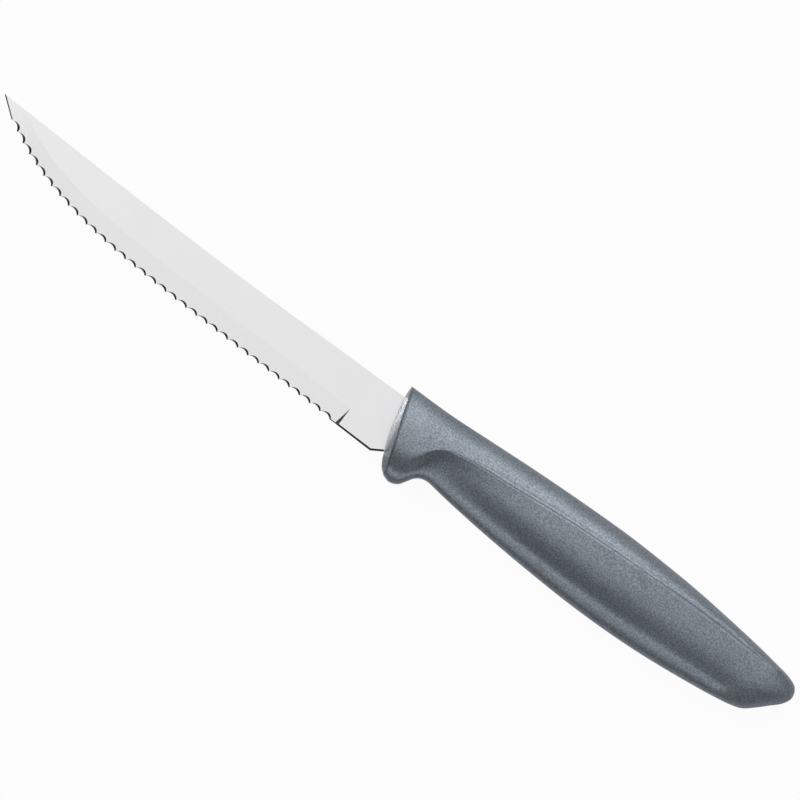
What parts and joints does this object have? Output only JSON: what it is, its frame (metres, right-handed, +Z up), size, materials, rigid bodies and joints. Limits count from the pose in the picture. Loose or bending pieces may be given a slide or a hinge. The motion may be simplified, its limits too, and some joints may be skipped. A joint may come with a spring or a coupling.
{
  "type": "kitchen knife",
  "caption": "Serrated kitchen knife: slim pointed steel blade ground on one side, with a moulded plastic handle that has a finger guard and a swelling grip.",
  "frame": {"origin": "middle of the knife's box on the surface it lies on, directly under the middle of its length", "axes": "+X along the knife from the tip to the butt, +Y from the cutting edge to the spine, +Z up through the side that the blade is ground on"},
  "size_m": [0.2519, 0.0262, 0.015],
  "materials": {
    "blade_steel": "fine satin flats, ground bevel and bright hollows",
    "handle_plastic": "finely grained slate grey polypropylene"
  },
  "bodies": {
    "root": {"blade": "blade_steel", "handle": "handle_plastic"}
  },
  "joints": []
}
